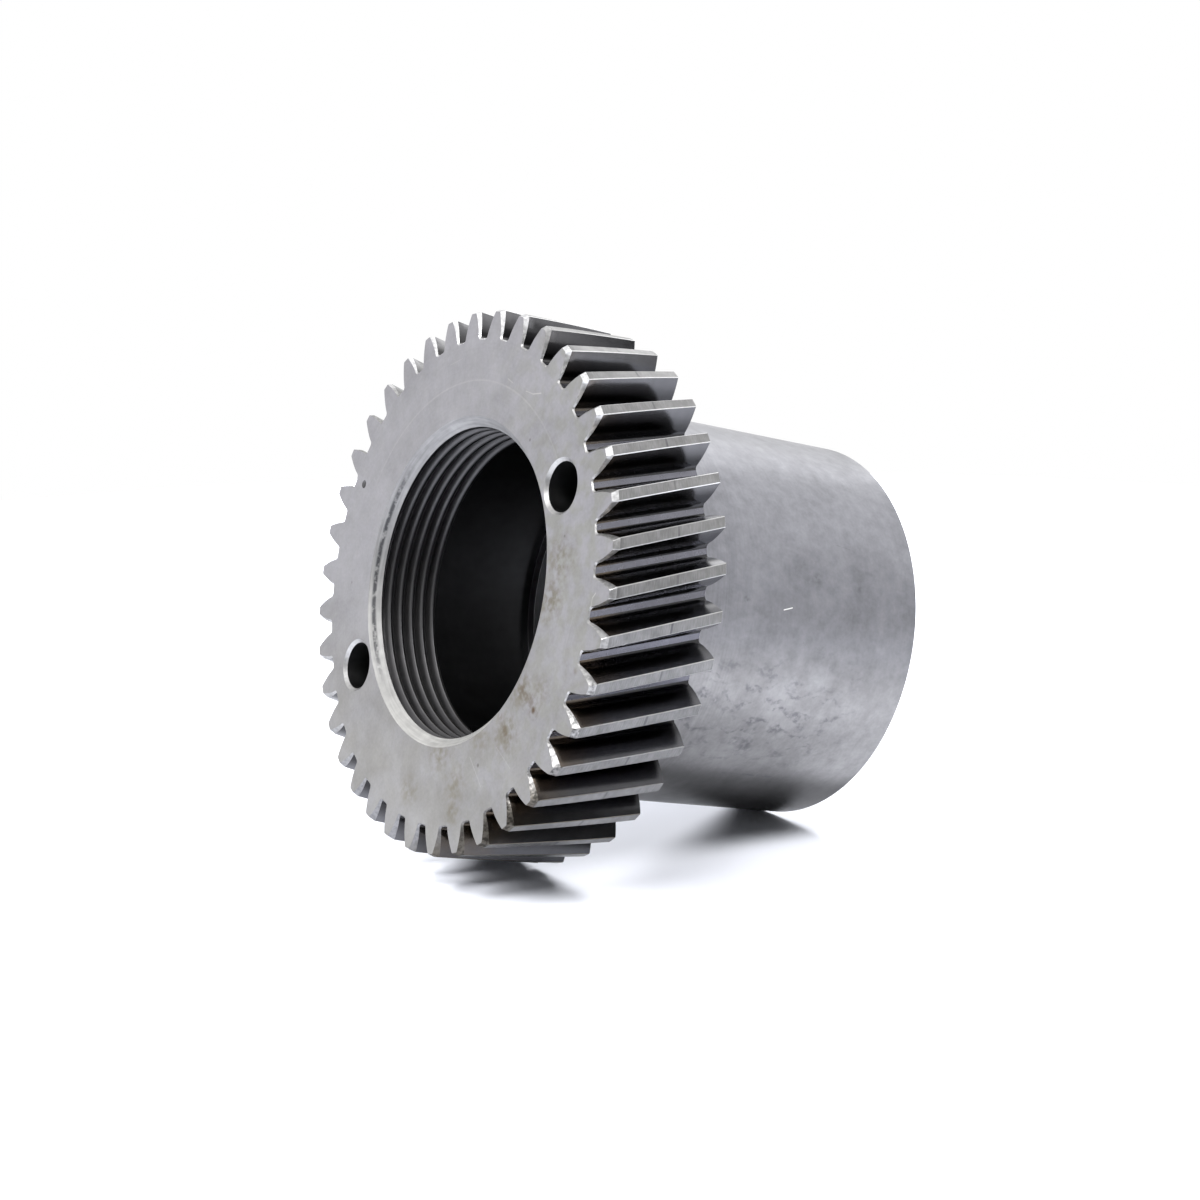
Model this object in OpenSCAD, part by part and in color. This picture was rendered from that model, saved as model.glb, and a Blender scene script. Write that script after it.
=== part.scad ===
// Supply pump gear: a left-hand helical ring of teeth on a long plain hub, one steel piece.
// It stands on the end of its hub, with the threaded front face up and a face hole on +X.

/* [Teeth] */
// Number of teeth
tooth_count = 38; // [34:1:42]
// Normal module
normal_module = 2; // [1.9:0.05:2.1]
// Normal pressure angle in degrees
pressure_angle = 17.5; // [16:0.5:20]
// Helix angle on the pitch circle in degrees, left hand
helix_angle = 16; // [10:0.5:20]
// Diameter over the tooth tips
tip_d = 84; // [82:0.5:86]
// Tooth depth in modules
tooth_depth = 2.25; // [2.1:0.05:2.4]
// Radius of the fillet at the foot of a tooth
root_fillet = 0.6; // [0.3:0.05:0.8]
// Face width of the teeth
face_w = 20; // [16:0.5:26]
// Angle from the first face hole to the nearest tooth gap on the front face
gap_angle = 3.6; // [0:0.1:9]

/* [Tooth ends] */
// Length along the axis of the front chamfer at a tooth tip
end_chamfer_len = 1; // [0.5:0.1:1.5]
// Drop of the front chamfer at a tooth tip
end_chamfer_drop = 0.4; // [0.2:0.05:0.8]
// Width of the front chamfer at the foot of a tooth
foot_chamfer = 0.2; // [0.1:0.05:0.4]
// Width of the edge break on the back of the teeth
back_break = 0.15; // [0.1:0.05:0.3]

/* [Hub] */
// Outer diameter of the hub
hub_d = 62; // [60:0.5:66]
// Overall length from the hub end to the front face
total_len = 67.5; // [56:0.5:80]
// Chamfer on the outer edge of the hub end
hub_chamfer = 0.2; // [0.1:0.1:1]
// Radius of the fillet between the hub and the back of the teeth
hub_fillet = 0.8; // [0.4:0.1:1.5]

/* [Bore] */
// Diameter of the mouth on the front face
mouth_d = 51; // [50.5:0.1:52]
// Major diameter of the internal thread
thread_d = 50; // [49:0.5:50.5]
// Pitch of the internal thread
thread_pitch = 2; // [1.5:0.5:2]
// Depth from the front face to the end of the thread
thread_end = 12.3; // [10:0.1:15]
// Clearance on diameter of the smooth bore behind the thread
relief_clearance = 0.4; // [0.2:0.1:0.8]
// Depth from the front face to the shoulder
shoulder_depth = 31; // [24:0.5:36]
// Diameter of the seat from the shoulder to the hub end
seat_d = 47; // [45:0.5:48]
// Chamfer where the seat opens at the hub end
seat_chamfer = 1; // [0.5:0.1:1.5]

/* [Face holes] */
// Number of blind holes in the front face
hole_count = 2; // [2:1:4]
// Diameter of a face hole
hole_d = 7.5; // [6:0.1:8]
// Depth of a face hole to its full diameter
hole_depth = 15; // [8:0.5:16]
// Diameter of the circle that the face holes lie on
hole_circle_d = 60.5; // [60:0.5:62]
// Chamfer on the edge of a face hole
hole_chamfer = 0.5; // [0.2:0.1:0.6]
// Angle of the drill point at the bottom of a face hole
drill_point = 118; // [90:1:140]

/* [Punch mark] */
// Diameter of the punch mark on the front face
punch_d = 1.3; // [0.8:0.1:2.5]
// Depth of the punch mark
punch_depth = 0.4; // [0.2:0.1:1]
// Distance from the axis to the punch mark
punch_r = 34.6; // [33:0.1:35]
// Angle from the first face hole to the punch mark
punch_angle = 125.5; // [100:0.1:150]

/* [Hidden] */

$fn = 96;
// Cuts run this far past the face that they open
cut_through = 1;
// Steps of a tooth flank between its foot and its tip, and of the fillet below it
flank_steps = 3;
fillet_steps = 2;
// Slices of the toothed ring between its two chamfered ends
ring_slices = 5;
// The front chamfer is shorter at the foot of a tooth, by this share of its length at the tip
foot_share = 0.2;

// Internal thread of ISO form: its crests lie this share of a pitch inside the major radius
thread_crest_r = thread_d / 2 - 0.5413 * thread_pitch;
relief_r = (thread_d + relief_clearance) / 2;
ring_z = total_len - face_w;
shoulder_z = total_len - shoulder_depth;

// Transverse sizes of the helical teeth
pitch_deg = 360 / tooth_count;
module_t = normal_module / cos(helix_angle);
pressure_t = atan(tan(pressure_angle) / cos(helix_angle));
pitch_r = tooth_count * module_t / 2;
base_r = pitch_r * cos(pressure_t);
tip_r = tip_d / 2;
root_r = tip_r - tooth_depth * normal_module;
foot_r = max(root_r + root_fillet, base_r + 0.01);
lead = 2 * PI * pitch_r / tan(helix_angle);
// Profile shift that puts the tips of standard teeth on tip_d, and the thickness that goes with it
profile_shift = (tip_r - pitch_r) / normal_module - 1;
thickness = module_t * (PI / 2 + 2 * profile_shift * tan(pressure_angle));

function involute(angle) = tan(angle) * 180 / PI - angle;

// Half of the angle that a tooth takes up at radius r
function half_tooth(r) =
    thickness / (2 * pitch_r) * 180 / PI + involute(pressure_t) - involute(acos(base_r / r));

// Half of a tooth as [radius, half angle] points, from the root circle up to the tip
function tooth_side() = concat(
    [for (i = [fillet_steps : -1 : 1])
        let (turn = 90 * i / fillet_steps)
        [root_r + (foot_r - root_r) * (1 - sin(turn)),
         half_tooth(foot_r) + root_fillet * (1 - cos(turn)) / root_r * 180 / PI]],
    [for (i = [0 : flank_steps])
        let (r = foot_r + (tip_r - foot_r) * i / flank_steps)
        [r, half_tooth(r)]]
);

// Height of a point on the tooth as a share, 0 on the root circle and 1 at the tip
function tooth_share(r) = (r - root_r) / (tip_r - root_r);

// A point of the side pulled in by an edge that is foot wide at the root and tip wide at the tip
function pull_in(point, foot, tip) =
    let (width = foot + (tip - foot) * tooth_share(point[0]))
    [point[0] - width, point[1] - foot / point[0] * 180 / PI];

// One ring of points: every tooth, clockwise side first, turned by the helix at each point's height
function ring_points(side, heights) = [
    for (k = [0 : tooth_count - 1])
        for (mirror_side = [0, 1])
            for (j = [0 : len(side) - 1])
                let (
                    n = mirror_side == 0 ? j : len(side) - 1 - j,
                    middle = gap_angle + pitch_deg * (k + 0.5) + 360 * (total_len - heights[n]) / lead,
                    angle = middle + (mirror_side == 0 ? -side[n][1] : side[n][1])
                )
                [side[n][0] * cos(angle), side[n][0] * sin(angle), heights[n]]
];

// The toothed disc: chamfered front end, straight slices of the helix and a broken back edge
module toothed_disc() {
    side = tooth_side();
    front_side = [for (p = side) pull_in(p, foot_chamfer, end_chamfer_drop)];
    back_side = [for (p = side) pull_in(p, back_break, back_break)];
    chamfer_z = [for (p = side)
        total_len - end_chamfer_len * (foot_share + (1 - foot_share) * tooth_share(p[0]))];
    low_z = ring_z + back_break;
    high_z = total_len - end_chamfer_len;
    body_slices = [for (i = [0 : ring_slices - 1])
        let (z = low_z + (high_z - low_z) * i / ring_slices)
        ring_points(side, [for (p = side) z])];
    slices = concat(
        [ring_points(back_side, [for (p = side) ring_z])],
        body_slices,
        [ring_points(side, chamfer_z)],
        [ring_points(front_side, [for (p = side) total_len])]
    );
    count = len(slices[0]);
    top = len(slices) - 1;
    centres = [[0, 0, ring_z], [0, 0, total_len]];
    points = concat([for (slice = slices) each slice], centres);
    walls = [
        for (s = [0 : top - 1])
            for (i = [0 : count - 1])
                let (
                    low = s * count,
                    high = low + count,
                    next = (i + 1) % count
                )
                each [[low + i, high + i, high + next], [low + i, high + next, low + next]]
    ];
    back_face = [for (i = [0 : count - 1]) [len(points) - 2, i, (i + 1) % count]];
    front_face = [for (i = [0 : count - 1])
        [len(points) - 1, top * count + (i + 1) % count, top * count + i]];
    polyhedron(points = points, faces = concat(walls, back_face, front_face));
}

// The hub runs into the disc, with a fillet where it meets the back of the teeth
module hub() {
    hub_r = hub_d / 2;
    fillet_z = ring_z - hub_fillet;
    rotate_extrude()
        difference() {
            polygon([
                [0, 0],
                [hub_r - hub_chamfer, 0],
                [hub_r, hub_chamfer],
                [hub_r, fillet_z],
                [hub_r + hub_fillet, ring_z],
                [hub_r + hub_fillet, ring_z + cut_through],
                [0, ring_z + cut_through]
            ]);
            translate([hub_r + hub_fillet, fillet_z])
                circle(r = hub_fillet);
        }
}

// Everything that is cut from the axis: chamfered mouth, thread wall, relief, shoulder and seat
module bore() {
    mouth_r = mouth_d / 2;
    seat_r = seat_d / 2;
    mouth_depth = mouth_r - thread_crest_r;
    rotate_extrude()
        polygon([
            [0, -cut_through],
            [seat_r + seat_chamfer + cut_through, -cut_through],
            [seat_r, seat_chamfer],
            [seat_r, shoulder_z],
            [relief_r, shoulder_z],
            [relief_r, total_len - thread_end],
            [thread_crest_r, total_len - thread_end],
            [thread_crest_r, total_len - mouth_depth],
            [mouth_r + cut_through, total_len + cut_through],
            [0, total_len + cut_through]
        ]);
}

// A blind drilled hole with its chamfer, sunk from z = 0
module face_hole() {
    hole_r = hole_d / 2;
    point_len = hole_r / tan(drill_point / 2);
    rotate_extrude()
        polygon([
            [0, -hole_depth - point_len],
            [hole_r, -hole_depth],
            [hole_r, -hole_chamfer],
            [hole_r + hole_chamfer + cut_through, cut_through],
            [0, cut_through]
        ]);
}

module face_holes() {
    for (i = [0 : hole_count - 1])
        rotate([0, 0, 360 * i / hole_count])
            translate([hole_circle_d / 2, 0, total_len])
                face_hole();
}

// A shallow cone struck into the front face
module punch_mark() {
    rotate([0, 0, punch_angle])
        translate([punch_r, 0, total_len])
            rotate_extrude()
                polygon([
                    [0, -punch_depth],
                    [punch_d / 2, 0],
                    [punch_d / 2, punch_depth],
                    [0, punch_depth]
                ]);
}

module supply_pump_gear() {
    color([0.66, 0.66, 0.69])
        difference() {
            union() {
                toothed_disc();
                hub();
            }
            bore();
            face_holes();
            punch_mark();
        }
}

supply_pump_gear();
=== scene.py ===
# Supply pump gear: a left-hand helical gear on a long plain hub, lying on a white table.
# The gear keeps its own frame, with +Z up its axis, so the table and the camera are tilted to it.
import math

import bmesh
import bpy
import numpy as np
from mathutils import Matrix, Vector, geometry


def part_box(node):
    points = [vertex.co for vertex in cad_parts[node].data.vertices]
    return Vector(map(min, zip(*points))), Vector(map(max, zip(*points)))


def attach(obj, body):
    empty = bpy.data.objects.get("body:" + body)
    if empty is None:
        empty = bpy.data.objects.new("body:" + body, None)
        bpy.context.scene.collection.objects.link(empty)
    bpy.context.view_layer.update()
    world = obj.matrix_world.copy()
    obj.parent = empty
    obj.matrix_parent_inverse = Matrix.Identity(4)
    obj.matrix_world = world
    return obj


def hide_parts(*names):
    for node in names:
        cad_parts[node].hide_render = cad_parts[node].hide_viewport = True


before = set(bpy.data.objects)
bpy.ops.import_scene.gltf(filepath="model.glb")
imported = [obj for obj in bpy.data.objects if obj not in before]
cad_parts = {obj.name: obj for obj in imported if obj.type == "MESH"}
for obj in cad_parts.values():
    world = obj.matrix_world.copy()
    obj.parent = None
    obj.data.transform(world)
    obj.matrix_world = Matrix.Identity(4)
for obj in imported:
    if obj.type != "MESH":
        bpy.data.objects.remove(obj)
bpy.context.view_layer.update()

NODE = "supply_pump_gear"
BODY = "root"

# All sizes of the gear are in millimetres, and its mesh is in metres
MM = 0.001
TOTAL_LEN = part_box(NODE)[1].z / MM

# Teeth, as in the solid: involute teeth on a left-hand helix
TOOTH_COUNT = 38
NORMAL_MODULE = 2.0
PRESSURE_ANGLE = math.radians(17.5)
HELIX_ANGLE = math.radians(16)
TIP_R = 42.0
ROOT_R = 37.5
ROOT_FILLET = 0.6
FACE_W = 20.0
GAP_ANGLE = math.radians(3.6)
END_CHAMFER_LEN = 1.0
END_CHAMFER_DROP = 0.4
END_CHAMFER_FOOT_SHARE = 0.2
FOOT_CHAMFER = 0.2
BACK_BREAK = 0.15
# Width of the broken edge between a flank and the tip land
TIP_BREAK = 0.08

# Hub and bore
HUB_R = 31.0
HUB_CHAMFER = 0.2
HUB_FILLET = 0.8
MOUTH_R = 25.5
THREAD_R = 25.0
THREAD_PITCH = 2.0
THREAD_END = 12.3
# The thread's crests lie this share of a pitch inside its major radius, and its flanks rise at this slope
CREST_SHARE = 0.5413
THREAD_SLOPE = math.tan(math.radians(30))
# Worn corner of a crest, along the axis and in radius
CREST_CORNER = 0.07
CREST_WEAR = 0.1
RELIEF_R = 25.2
SHOULDER_DEPTH = 31.0
SEAT_R = 23.5
SEAT_CHAMFER = 1.0
# A thread crest lies this far below the front face on the side of +X
CREST_DEPTH = 2.42
# The grooves start this far below the front face, in the mouth's chamfer, and are full further down
GROOVE_START = 0.9
GROOVE_FULL = 2.8

# Face holes and punch mark
HOLE_COUNT = 2
HOLE_R = 3.75
HOLE_DEPTH = 15.0
HOLE_CIRCLE_R = 30.25
HOLE_CHAMFER = 0.5
DRILL_POINT = math.radians(118)
PUNCH_R = 0.65
PUNCH_DEPTH = 0.4
PUNCH_CIRCLE_R = 34.6
PUNCH_ANGLE = math.radians(125.5)

# How finely the surfaces are cut up
ROUND_STEPS = 240
HOLE_STEPS = 64
PUNCH_STEPS = 24
FLANK_STEPS = 9
FILLET_STEPS = 4
LAND_STEPS = 3
TOOTH_SLICES = 14
CORNER_STEPS = 5
SMOOTH_ANGLE = math.radians(25)
# Points closer than this are one point, and angles closer than this are equal
WELD = 0.002
SAME_ANGLE = 1e-9

# Sizes that follow from the teeth
RING_Z = TOTAL_LEN - FACE_W
PITCH = 2 * math.pi / TOOTH_COUNT
MODULE_T = NORMAL_MODULE / math.cos(HELIX_ANGLE)
PRESSURE_T = math.atan(math.tan(PRESSURE_ANGLE) / math.cos(HELIX_ANGLE))
PITCH_R = TOOTH_COUNT * MODULE_T / 2
BASE_R = PITCH_R * math.cos(PRESSURE_T)
LEAD = 2 * math.pi * PITCH_R / math.tan(HELIX_ANGLE)
PROFILE_SHIFT = (TIP_R - PITCH_R) / NORMAL_MODULE - 1
TOOTH_THICKNESS = MODULE_T * (math.pi / 2 + 2 * PROFILE_SHIFT * math.tan(PRESSURE_ANGLE))
# A flank starts just outside the base circle, where the involute begins
FOOT_R = max(ROOT_R + ROOT_FILLET, BASE_R + 0.01)
CREST_R = THREAD_R - CREST_SHARE * THREAD_PITCH

# The finishes of the steel, in the order of the gear's material slots
FINISHES = [
    "ground_face", "cut_edge", "tooth_land", "tooth_flank",
    "root_land", "turned_hub", "thread", "dark_bore",
]

# The photo's camera, in the gear's frame
CAMERA_PLACE = Vector((258.75, -156.57, 251.69)) * MM
CAMERA_RIGHT = Vector((0.55866, -0.17470, -0.81079))
CAMERA_UP = Vector((0.44454, 0.88838, 0.11488))
CAMERA_BACK = Vector((0.70023, -0.42461, 0.57395))
CAMERA_LENS = 69.38

# The table that the gear lies on: its upward normal, how far it passes below the gear's origin in
# millimetres, its radius in metres, and how bright it is in reflections as a share of its colour
TABLE_NORMAL = Vector((0.573, 0.788, 0.225)).normalized()
TABLE_DROP = 30.2
TABLE_RADIUS = 0.4
TABLE_COLOUR = (0.835, 0.855, 0.92)
MIRRORED_TABLE = 0.76
# Level of the white room as a light, as a share of its brightness to the camera
ROOM_LEVEL = 0.25

# Soft lights, each as (name, azimuth, elevation, width, height, radiance, seen in the steel), and their
# distance. Sizes and distances are in metres.
LIGHT_DISTANCE = 1.0
SOFT_BOXES = [
    ("front_light", -176, 56, 0.3, 0.3, 24.0, True),
    ("left_light", -118, 42, 0.4, 0.4, 18.0, False),
    ("back_light", -25, 14, 0.35, 0.15, 180.0, False),
    ("right_light", 122, 52, 0.4, 0.4, 12.0, False),
    ("rim_light", 18, 31, 0.6, 0.36, 1.3, True),
    ("side_light", 75, 42, 0.9, 0.7, 0.35, True),
]
# Cards that the steel mirrors, each as (name, azimuth, elevation, distance, width, height, grey)
CARDS = [
    ("camera_card", 170, 18, 0.7, 1.0, 0.5, 0.05),
    ("low_card", 73, 9, 0.24, 0.1, 0.13, 0.04),
    ("front_card", -155, 3, 0.7, 0.6, 0.25, 0.05),
    ("right_card", 106, 12, 0.7, 0.4, 0.35, 0.62),
]


# Mesh of the gear

class Skin:
    """The gear's surface as patches of faces, each with its finish."""

    def __init__(self):
        self.points = []
        self.faces = []
        self.finishes = []

    def grid(self, rows, finish, closed=True):
        """Quads between rows of equally many points."""
        start = len(self.points)
        count = len(rows[0])
        for row in rows:
            self.points.extend(row)
        for i in range(len(rows) - 1):
            for j in range(count if closed else count - 1):
                low = start + i * count
                high = low + count
                k = (j + 1) % count
                self.faces.append((low + j, low + k, high + k, high + j))
                self.finishes.append(FINISHES.index(finish))

    def flat(self, outline, openings, z, finish):
        """A flat face at height z, inside an outline and outside its openings."""
        loops = [outline] + openings
        points = []
        edges = []
        for loop in loops:
            first = len(points)
            points.extend(loop)
            edges.extend((first + i, first + (i + 1) % len(loop)) for i in range(len(loop)))
        made = geometry.delaunay_2d_cdt([Vector(p) for p in points], edges, [], 0, 1e-6)
        start = len(self.points)
        self.points.extend((p.x, p.y, z) for p in made[0])
        for face in made[2]:
            middle = sum((made[0][i] for i in face), Vector((0, 0))) / len(face)
            if inside(middle, outline) and not any(inside(middle, loop) for loop in openings):
                self.faces.append(tuple(start + i for i in face))
                self.finishes.append(FINISHES.index(finish))

    def apex(self, ring, point, finish):
        """A fan from a ring of points to one point."""
        start = len(self.points)
        self.points.extend(ring)
        self.points.append(point)
        for i in range(len(ring)):
            self.faces.append((start + i, start + (i + 1) % len(ring), start + len(ring)))
            self.finishes.append(FINISHES.index(finish))


def inside(point, loop):
    """Whether a point of the plane lies inside a closed loop."""
    corners = np.array(loop)
    following = np.roll(corners, -1, axis=0)
    above = corners[:, 1] > point.y
    crossing = above != (following[:, 1] > point.y)
    rise = np.where(crossing, following[:, 1] - corners[:, 1], 1)
    x = corners[:, 0] + (point.y - corners[:, 1]) / rise * (following[:, 0] - corners[:, 0])
    return np.count_nonzero(crossing & (point.x < x)) % 2 == 1


def polar(radius, angle):
    return radius * math.cos(angle), radius * math.sin(angle)


def ring(radius, z, steps=ROUND_STEPS, centre=(0, 0)):
    """Points of a circle round an upright axis."""
    turns = [2 * math.pi * i / steps for i in range(steps)]
    return [(centre[0] + radius * math.cos(a), centre[1] + radius * math.sin(a), z) for a in turns]


def flat_ring(radius, steps=ROUND_STEPS, centre=(0, 0)):
    return [(x, y) for x, y, _ in ring(radius, 0, steps, centre)]


def involute(angle):
    return math.tan(angle) - angle


def half_tooth(radius):
    """Half of the angle that a tooth takes up at a radius."""
    return TOOTH_THICKNESS / (2 * PITCH_R) + involute(PRESSURE_T) - involute(math.acos(BASE_R / radius))


def tooth_side():
    """Half of a tooth from mid-gap to mid-tip, as (radius, angle, finish of the next strip)."""
    side = []
    foot_angle = half_tooth(FOOT_R)
    fillet_angle = foot_angle + ROOT_FILLET / ROOT_R
    for i in range(LAND_STEPS):
        side.append((ROOT_R, PITCH / 2 + (fillet_angle - PITCH / 2) * i / LAND_STEPS, "root_land"))
    for i in range(FILLET_STEPS):
        turn = math.pi / 2 * (1 - i / FILLET_STEPS)
        radius = ROOT_R + (FOOT_R - ROOT_R) * (1 - math.sin(turn))
        angle = foot_angle + ROOT_FILLET * (1 - math.cos(turn)) / ROOT_R
        side.append((radius, angle, "tooth_flank"))
    top_r = TIP_R - TIP_BREAK
    for i in range(FLANK_STEPS):
        radius = FOOT_R + (top_r - FOOT_R) * i / FLANK_STEPS
        side.append((radius, half_tooth(radius), "tooth_flank"))
    side.append((top_r, half_tooth(top_r), "cut_edge"))
    land_angle = half_tooth(TIP_R) - TIP_BREAK / TIP_R
    for i in range(LAND_STEPS):
        side.append((TIP_R, land_angle * (1 - i / LAND_STEPS), "tooth_land"))
    side.append((TIP_R, 0.0, None))
    return side


def tooth_share(radius):
    """Height on the tooth as a share, 0 on the root circle and 1 at the tip."""
    return (radius - ROOT_R) / (TIP_R - ROOT_R)


def pulled_in(side, foot, tip):
    """The side moved in by an edge that is foot wide at the root and tip wide at the tip."""
    moved = []
    for radius, angle, finish in side:
        width = foot + (tip - foot) * tooth_share(radius)
        on_gap = abs(angle - PITCH / 2) < SAME_ANGLE
        moved.append((radius - width, angle if on_gap else max(0.0, angle - foot / radius), finish))
    return moved


def both_sides(side):
    """The whole tooth from gap to gap, from its half."""
    left = [(radius, -angle) for radius, angle, _ in side]
    right = [(radius, angle) for radius, angle, _ in reversed(side[:-1])]
    return left + right


def tooth_slices():
    """Outlines of one straight tooth from the back of the ring to its front, as (outline, heights)."""
    side = tooth_side()
    whole = both_sides(side)
    chamfer_z = []
    for radius, _ in whole:
        share = END_CHAMFER_FOOT_SHARE + (1 - END_CHAMFER_FOOT_SHARE) * tooth_share(radius)
        chamfer_z.append(TOTAL_LEN - END_CHAMFER_LEN * share)
    low = RING_Z + BACK_BREAK
    slices = [(both_sides(pulled_in(side, BACK_BREAK, BACK_BREAK)), [RING_Z] * len(whole))]
    for i in range(TOOTH_SLICES):
        share = i / TOOTH_SLICES
        slices.append((whole, [low + (top - low) * share for top in chamfer_z]))
    slices.append((whole, chamfer_z))
    slices.append((both_sides(pulled_in(side, FOOT_CHAMFER, END_CHAMFER_DROP)), [TOTAL_LEN] * len(whole)))
    return slices


def ring_outline(outline, z):
    """A tooth outline repeated all round the ring at height z, as points of the plane."""
    twist = 2 * math.pi * (TOTAL_LEN - z) / LEAD
    points = []
    for k in range(TOOTH_COUNT):
        middle = GAP_ANGLE + PITCH * (k + 0.5) + twist
        for radius, angle in outline[:-1]:
            points.append(polar(radius, middle + angle))
    return points


def in_scene(name, data):
    """A new object with this data, in the scene."""
    made = bpy.data.objects.new(name, data)
    bpy.context.scene.collection.objects.link(made)
    return made


def tooth_sector():
    """One straight tooth with half a gap on each side, as the mesh that the ring repeats."""
    side = tooth_side()
    strip = [finish for _, _, finish in side[:-1]]
    strip = strip + strip[::-1]
    slices = tooth_slices()
    points = []
    for outline, heights in slices:
        for (radius, angle), z in zip(outline, heights):
            points.append((*polar(radius * MM, angle), z * MM))
    count = len(slices[0][0])
    faces = []
    finishes = []
    for i in range(len(slices) - 1):
        on_end = i in (0, len(slices) - 2)
        for j in range(count - 1):
            low = i * count + j
            faces.append((low, low + 1, low + count + 1, low + count))
            finishes.append(FINISHES.index("cut_edge" if on_end else strip[j]))
    mesh = bpy.data.meshes.new("tooth_sector")
    mesh.from_pydata(points, [], faces)
    mesh.attributes.new("finish", "INT", "FACE").data.foreach_set("value", finishes)
    return in_scene("tooth_sector", mesh)


def add(tree, kind, inputs=None, **settings):
    """A new node in a tree. Its inputs take plain values or the sockets that they are linked to."""
    made = tree.nodes.new(kind)
    for name, value in settings.items():
        setattr(made, name, value)
    for name, value in (inputs or {}).items():
        if isinstance(value, bpy.types.NodeSocket):
            tree.links.new(value, made.inputs[name])
        else:
            made.inputs[name].default_value = value
    return made


def math_node(tree, operation, a, b=0.0, c=0.0):
    return add(tree, "ShaderNodeMath", {0: a, 1: b, 2: c}, operation=operation).outputs[0]


def node_group(name, kind, inputs, outputs):
    """A new node group and the sockets of its inputs. Inputs and outputs are given as {name: kind}."""
    tree = bpy.data.node_groups.new(name, kind)
    for side, sockets in (("INPUT", inputs), ("OUTPUT", outputs)):
        for label, socket in sockets.items():
            tree.interface.new_socket(label, in_out=side, socket_type="NodeSocket" + socket)
    return tree, tree.nodes.new("NodeGroupInput").outputs


def toothed_ring_tree(materials):
    """Twists one straight tooth to the helix, repeats it round the axis and gives each face its finish."""
    inputs = {
        "Tooth": "Geometry",
        "Teeth": "Int",
        "Lead": "Float",
        "Front height": "Float",
        "First tooth angle": "Float",
    }
    tree, given = node_group("toothed_ring", "GeometryNodeTree", inputs, {"Ring": "Geometry"})
    place = tree.nodes.new("GeometryNodeInputPosition").outputs[0]
    height = add(tree, "ShaderNodeSeparateXYZ", {0: place}).outputs["Z"]
    depth = math_node(tree, "SUBTRACT", given["Front height"], height)
    turns = math_node(tree, "DIVIDE", depth, given["Lead"])
    twist = math_node(tree, "MULTIPLY", turns, 2 * math.pi)
    inputs = {"Vector": place, "Angle": twist}
    turned = add(tree, "ShaderNodeVectorRotate", inputs, rotation_type="Z_AXIS").outputs[0]
    inputs = {"Geometry": given["Tooth"], "Position": turned}
    helical = add(tree, "GeometryNodeSetPosition", inputs).outputs[0]

    number = tree.nodes.new("GeometryNodeInputIndex").outputs[0]
    pitch = math_node(tree, "DIVIDE", 2 * math.pi, given["Teeth"])
    angle = math_node(tree, "MULTIPLY_ADD", number, pitch, given["First tooth angle"])
    heading = add(tree, "ShaderNodeCombineXYZ", {"Z": angle}).outputs[0]
    spots = add(tree, "GeometryNodePoints", {"Count": given["Teeth"]}).outputs[0]
    inputs = {"Points": spots, "Instance": helical, "Rotation": heading}
    teeth = add(tree, "GeometryNodeInstanceOnPoints", inputs).outputs[0]
    real = add(tree, "GeometryNodeRealizeInstances", {"Geometry": teeth}).outputs[0]
    welded = add(tree, "GeometryNodeMergeByDistance", {"Geometry": real, "Distance": WELD * MM}).outputs[0]
    finish = add(tree, "GeometryNodeInputNamedAttribute", {"Name": "finish"}, data_type="INT").outputs[0]
    for name in ("cut_edge", "tooth_land", "tooth_flank", "root_land"):
        inputs = {2: finish, 3: FINISHES.index(name)}
        chosen = add(tree, "FunctionNodeCompare", inputs, data_type="INT", operation="EQUAL").outputs[0]
        inputs = {"Geometry": welded, "Selection": chosen, "Material": materials[name]}
        welded = add(tree, "GeometryNodeSetMaterial", inputs).outputs[0]
    add(tree, "NodeGroupOutput", {"Ring": welded})
    return tree


def toothed_ring(materials):
    """The ring of helical teeth as a plain mesh."""
    sector = tooth_sector()
    tree = toothed_ring_tree(materials)
    modifier = sector.modifiers.new("toothed_ring", "NODES")
    modifier.node_group = tree
    values = {
        "Teeth": TOOTH_COUNT,
        "Lead": LEAD * MM,
        "Front height": TOTAL_LEN * MM,
        "First tooth angle": GAP_ANGLE + PITCH / 2,
    }
    for item in tree.interface.items_tree:
        if item.in_out == "INPUT" and item.name in values:
            modifier[item.identifier] = values[item.name]
    depsgraph = bpy.context.evaluated_depsgraph_get()
    mesh = bpy.data.meshes.new_from_object(sector.evaluated_get(depsgraph))
    bpy.data.objects.remove(sector)
    return mesh


def add_hub(skin):
    """The hub from the back of the teeth down to its end, and the flat face round it."""
    slices = tooth_slices()
    skin.flat(ring_outline(slices[0][0], RING_Z), [flat_ring(HUB_R + HUB_FILLET)], RING_Z, "turned_hub")
    profile = []
    for i in range(CORNER_STEPS + 1):
        turn = math.pi / 2 * i / CORNER_STEPS
        radius = HUB_R + HUB_FILLET * (1 - math.sin(turn))
        profile.append((radius, RING_Z - HUB_FILLET * (1 - math.cos(turn))))
    profile += [(HUB_R, HUB_CHAMFER), (HUB_R - HUB_CHAMFER, 0), (SEAT_R + SEAT_CHAMFER, 0)]
    skin.grid([ring(*point) for point in profile], "turned_hub")


def thread_profile():
    """One pitch of the internal thread from the middle of a crest, as (distance along the axis, radius)."""
    crest_half = THREAD_PITCH / 8
    groove_half = THREAD_PITCH / 16
    middle = THREAD_PITCH / 2
    worn_half = crest_half + CREST_WEAR * THREAD_SLOPE
    return [
        (-crest_half + CREST_CORNER, CREST_R),
        (crest_half - CREST_CORNER, CREST_R),
        (worn_half, CREST_R + CREST_WEAR),
        (middle - groove_half, THREAD_R),
        (middle + groove_half, THREAD_R),
        (THREAD_PITCH - worn_half, CREST_R + CREST_WEAR),
    ]


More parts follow.
